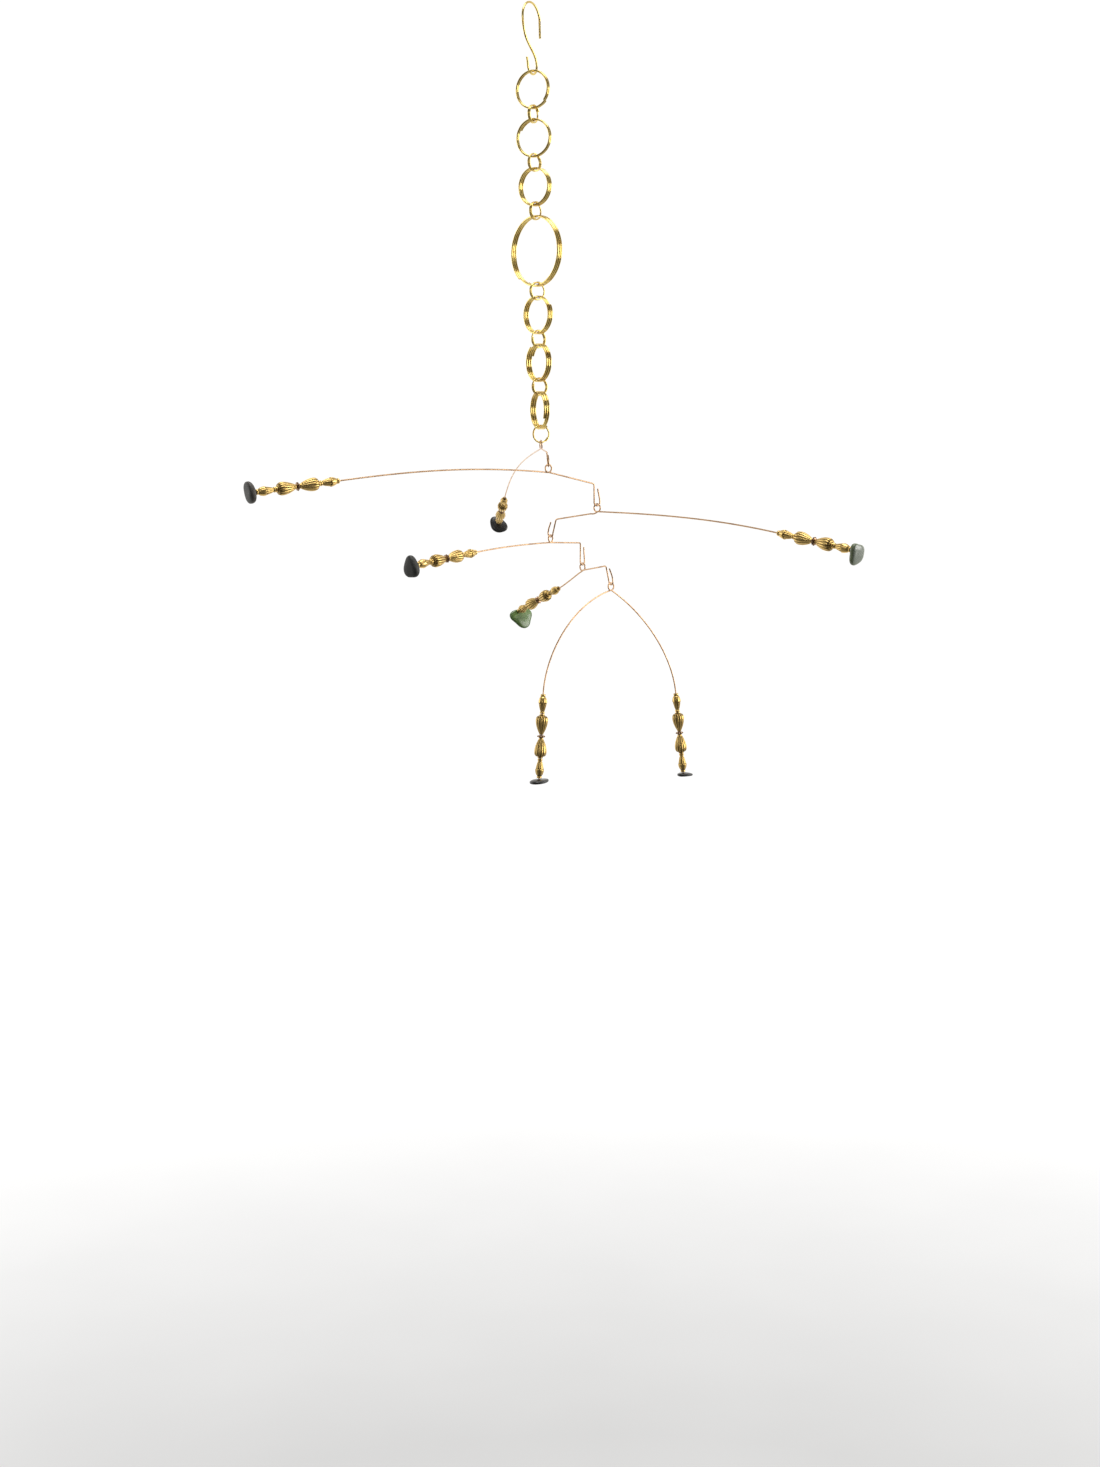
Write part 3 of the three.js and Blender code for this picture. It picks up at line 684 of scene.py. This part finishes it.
def stone_mesh(spec, seed):
    """A worn stone on the part's outline: rings from the drilled face round the rim to the back."""
    rng = random.Random(seed)
    sides, rows = 96, 56
    fullness = 0.72  # under 1, the section is fuller than a round one
    inset, hole_face, depth = 0.95, 0.04, 0.9  # keep the stone within the part's
    wave_size, dent_count, dent_size, dent_depth = 0.022, 9, 0.25, 0.035
    theta = np.arange(sides) * 2 * math.pi / sides
    off, lean = spec.get("off", (0, 0)), math.radians(spec.get("lean", 0))
    square, square_turn = spec.get("square", (0, 0))
    waves = [(rng.uniform(-1, 1), rng.uniform(0, FULL_TURN), k) for k in (2, 3, 4, 5, 7)]
    wave = sum(w * np.cos(k * theta + p) / k for w, p, k in waves) * wave_size
    dents = [(np.array([rng.uniform(-1, 1) for _ in range(3)]), rng.uniform(-1, 1))
             for _ in range(dent_count)]
    outline = (1 + spec["tri"] * np.cos(3 * (theta - math.radians(spec["tri_turn"])))) * (1 + wave)
    outline = outline * (1 + square * np.cos(4 * (theta - math.radians(square_turn))))
    verts, rim = [], []
    for row in range(rows):
        u = row / (rows - 1)
        a = math.pi * (0.001 + 0.998 * u)
        share = math.sin(a) ** fullness * inset
        along = 0.5 - 0.5 * math.copysign(abs(math.cos(a)) ** fullness, math.cos(a))
        x = share * (np.sin(theta) * spec["height"] / 2 * outline + off[0])
        y = share * (np.cos(theta) * spec["width"] / 2 * outline + off[1])
        z = np.full(sides, (hole_face + depth * along) * spec["thick"])
        for centre, push in dents:
            spot = np.c_[x / spec["height"] * 2, y / spec["width"] * 2, 2 * z / spec["thick"] - 1]
            near = np.exp(-((spot - centre) ** 2).sum(1) / dent_size)
            z = z - push * dent_depth * spec["thick"] * near * math.cos(a)
        verts.append(np.c_[x, y, z])
        rim.append(np.full(sides, np.clip(math.sin(a) * 1.6 - 0.75, 0, 1) ** 2))
    verts = np.vstack(verts)
    # a leaning stone bends away from the hole towards its rim
    middle = spec["thick"] / 2
    share = np.clip(np.hypot(verts[:, 0] / spec["height"], verts[:, 1] / spec["width"]) * 2, 0, 1)
    angle = -lean * share
    x, z = verts[:, 0].copy(), verts[:, 2] - middle
    verts[:, 0] = x * np.cos(angle) + z * np.sin(angle)
    verts[:, 2] = middle - x * np.sin(angle) + z * np.cos(angle)
    faces = inside_out(quads(rows, sides))
    faces.append(tuple(range(sides)))
    faces.append(tuple(reversed(range((rows - 1) * sides, rows * sides))))
    return verts, faces, np.concatenate(rim)


SMALL_MESH, DROP_MESH, DAISY_MESH = small_bead(), drop_bead(), daisy()
# each string from its inner end: piece, the node it replaces, mesh, length, the gap after it,
# whether it is turned end for end, material
STRING = (
    ("lantern_bead_inner", "small_bead_inner", SMALL_MESH, SMALL_BEAD, GAP, False, CAST),
    ("fluted_bead_inner", "drop_bead_inner", DROP_MESH, DROP_BEAD, GAP, False, CAST),
    ("daisy_spacer", "drop_bead_outer", DAISY_MESH, SPACER, -SPACER_TUCK, False, DAISY),
    ("fluted_bead_outer", "drop_bead_outer", DROP_MESH, DROP_BEAD, GAP, True, CAST),
    ("lantern_bead_outer", "small_bead_outer", SMALL_MESH, SMALL_BEAD, GAP, True, CAST),
)


def make_string(body, prefix, arm_place, start, out, slope):
    """Beads and stone from the start of the string outwards along the wire's last straight."""
    s = math.radians(slope)
    along = Vector((out * math.cos(s), 0, math.sin(s)))
    up = Vector((-out * math.sin(s), 0, math.cos(s)))
    side = along.cross(up)
    local = Matrix((up, side, along)).transposed().to_4x4()
    local.translation = (out * start[0], 0, start[1])
    frame_of = arm_place @ local
    rng = random.Random(prefix)

    def put(name, mesh, at, spin, material, slot, sharp, node_name):
        verts, faces, recess = mesh
        place = frame_of @ Matrix.Translation((0, 0, at)) @ Matrix.Rotation(spin, 4, "Z")
        attributes = {"recess": recess}
        thing = new_object(name, moved(verts, place), faces, material, attributes, sharp)
        finish_piece(thing, body, slot, node_name)

    at = 0.0
    for piece, replaced, mesh, length, gap, flipped, material in STRING:
        if flipped:
            mesh = (*flip(mesh[0], mesh[1], length), mesh[2])
        spin = rng.uniform(0, FULL_TURN)
        put(f"{prefix}_{piece}", mesh, at, spin, material, "bead_metal", BEAD_SHARP,
            f"{prefix}_{replaced}")
        at += length + gap
    spec = STONES[prefix]
    at += LEAN_SHIFT * math.sin(math.radians(spec.get("lean", 0)))
    roll = math.radians(spec.get("roll", 0))
    material, slot = STONE_LOOKS[prefix]
    put(f"{prefix}_drilled_stone", stone_mesh(spec, prefix), at, roll, material, slot, STONE_SHARP,
        f"{prefix}_stone")


make_hook()
make_chain()
make_arms()


# ---------------------------------------------------------------- studio
FLOOR, WALL_RADIUS, WALL_BEND, WALL_TOP = -2.0, 5.0, 1.6, 3.2
FLOOR_MIDDLE, SWEEP_SIDES, BEND_STEPS = 1.5, 96, 12
BACKDROP_GLOW, GLOW_REACH = (0.44, 0.93), (1.15, 3.4)  # from the middle of the floor outwards
MIDDLE = (0, 0.1, -0.4)  # of the mobile, which every lamp looks at
SOFTBOXES = (  # name, place, size, brightness of its face, colour
    ("softbox_right", (3.0, -0.5, -0.35), (2.2, 1.7), 5.5, (1, 0.98, 0.94)),
    ("softbox_left", (-3.0, 0.6, -0.2), (1.2, 1.6), 2.6, (1, 0.99, 0.97)),
    ("softbox_top", (0.2, -0.6, 2.6), (2.4, 2.0), 5.0, WHITE),
    ("softbox_front", (-1.6, -3.6, 0.7), (0.9, 1.2), 3.0, WHITE),
)
AIR_COLOUR, AIR_SPAN, AIR_STRENGTH = (1, 0.98, 0.95, 1), (-0.5, 0.9), (0.12, 1.3)
IMAGE_HEIGHT, FOCAL_PIXELS, SENSOR = 1467, 2000, 36
CAMERA_PLACE, CAMERA_PITCH, CAMERA_ROLL, CAMERA_SHIFT = (0.0059, -2.0136, -0.4940), 2.49, 1.3, -0.1
NEAREST, FURTHEST = 0.05, 30


def make_sweep():
    """A round pale studio floor that curves up into a bright wall far behind."""
    flat_end = WALL_RADIUS - WALL_BEND
    profile = [(FLOOR_MIDDLE, FLOOR), (flat_end, FLOOR)]
    for k in range(1, BEND_STEPS + 1):
        a = math.pi / 2 * k / BEND_STEPS
        profile.append((flat_end + WALL_BEND * math.sin(a), FLOOR + WALL_BEND * (1 - math.cos(a))))
    profile.append((WALL_RADIUS, WALL_TOP))
    turns = [2 * math.pi * s / SWEEP_SIDES for s in range(SWEEP_SIDES)]
    verts = [(r * math.cos(a), r * math.sin(a), z) for r, z in profile for a in turns]
    verts.append((0, 0, FLOOR))
    faces = [(s, (s + 1) % SWEEP_SIDES, len(verts) - 1) for s in range(SWEEP_SIDES)]
    faces += inside_out(quads(len(profile), SWEEP_SIDES))
    material, tree, shader = nodes_of("pale_studio")
    place = node(tree, "ShaderNodeTexCoord").outputs["Object"]
    # paler away from the middle, and evenly white up the wall
    flat = node(tree, "ShaderNodeMapping", {"Scale": (1, 1, 0)})
    tree.links.new(place, flat.inputs["Vector"])
    away = node(tree, "ShaderNodeVectorMath", operation="LENGTH")
    tree.links.new(flat.outputs["Vector"], away.inputs[0])
    glow = ranged(tree, away.outputs["Value"], BACKDROP_GLOW, GLOW_REACH)
    grain = noise(tree, place, scale=3, detail=2)
    pale = ramp(tree, grain, [(0.3, (0.24,) * 3), (0.7, (0.26,) * 3)])
    tree.links.new(pale, shader.inputs["Base Color"])
    shader.inputs["Roughness"].default_value = 0.9
    shader.inputs["Specular IOR Level"].default_value = 0.1
    shader.inputs["Emission Color"].default_value = (*WHITE, 1)
    tree.links.new(glow, shader.inputs["Emission Strength"])
    thing = new_object("studio_floor", verts, faces, material, sharp=None)
    # the lamps and the air light the mobile; the bright sweep is only its backdrop
    thing.visible_diffuse = False
    thing.visible_glossy = False
    thing.visible_transmission = False
    thing.visible_shadow = False


def softbox(name, place, size, glow, colour):
    """A rectangular lamp that looks at the mobile; glow is the brightness of its face."""
    data = bpy.data.lights.new(name, "AREA")
    data.shape = "RECTANGLE"
    data.size, data.size_y = size
    data.energy = glow * math.pi * size[0] * size[1]
    data.color = colour
    lamp = bpy.data.objects.new(name, data)
    lamp.location = place
    lamp.rotation_euler = (Vector(MIDDLE) - Vector(place)).to_track_quat("-Z", "Y").to_euler()
    lamp.visible_camera = False
    bpy.context.scene.collection.objects.link(lamp)


def make_air():
    """Dim room light: paler behind the mobile, darker on the side it is looked at from."""
    world = bpy.data.worlds.new("studio_air")
    bpy.context.scene.world = world
    world.use_nodes = True
    tree = world.node_tree
    direction = node(tree, "ShaderNodeTexCoord").outputs["Generated"]
    axes = node(tree, "ShaderNodeSeparateXYZ")
    tree.links.new(direction, axes.inputs[0])
    background = tree.nodes["Background"]
    tree.links.new(ranged(tree, axes.outputs["Y"], AIR_STRENGTH, AIR_SPAN),
                   background.inputs["Strength"])
    background.inputs["Color"].default_value = AIR_COLOUR


def make_camera():
    """At the photographed angle; Blender's lens is for the image's longer side, its height."""
    data = bpy.data.cameras.new("camera")
    data.sensor_width = SENSOR
    data.lens = SENSOR * FOCAL_PIXELS / IMAGE_HEIGHT
    data.shift_y = CAMERA_SHIFT
    data.clip_start, data.clip_end = NEAREST, FURTHEST
    camera = bpy.data.objects.new("camera", data)
    camera.location = CAMERA_PLACE
    camera.rotation_mode = "QUATERNION"
    pitch = Matrix.Rotation(math.radians(90 - CAMERA_PITCH), 4, "X")
    roll = Matrix.Rotation(math.radians(-CAMERA_ROLL), 4, "Z")
    camera.rotation_quaternion = (pitch @ roll).to_quaternion()
    bpy.context.scene.collection.objects.link(camera)
    bpy.context.scene.camera = camera


make_sweep()
make_air()
for lamp_row in SOFTBOXES:
    softbox(*lamp_row)
make_camera()
# keeps thin wires from being washed out against the white wall
bpy.context.scene.view_settings.view_transform = "Standard"

bpy.context.view_layer.update()
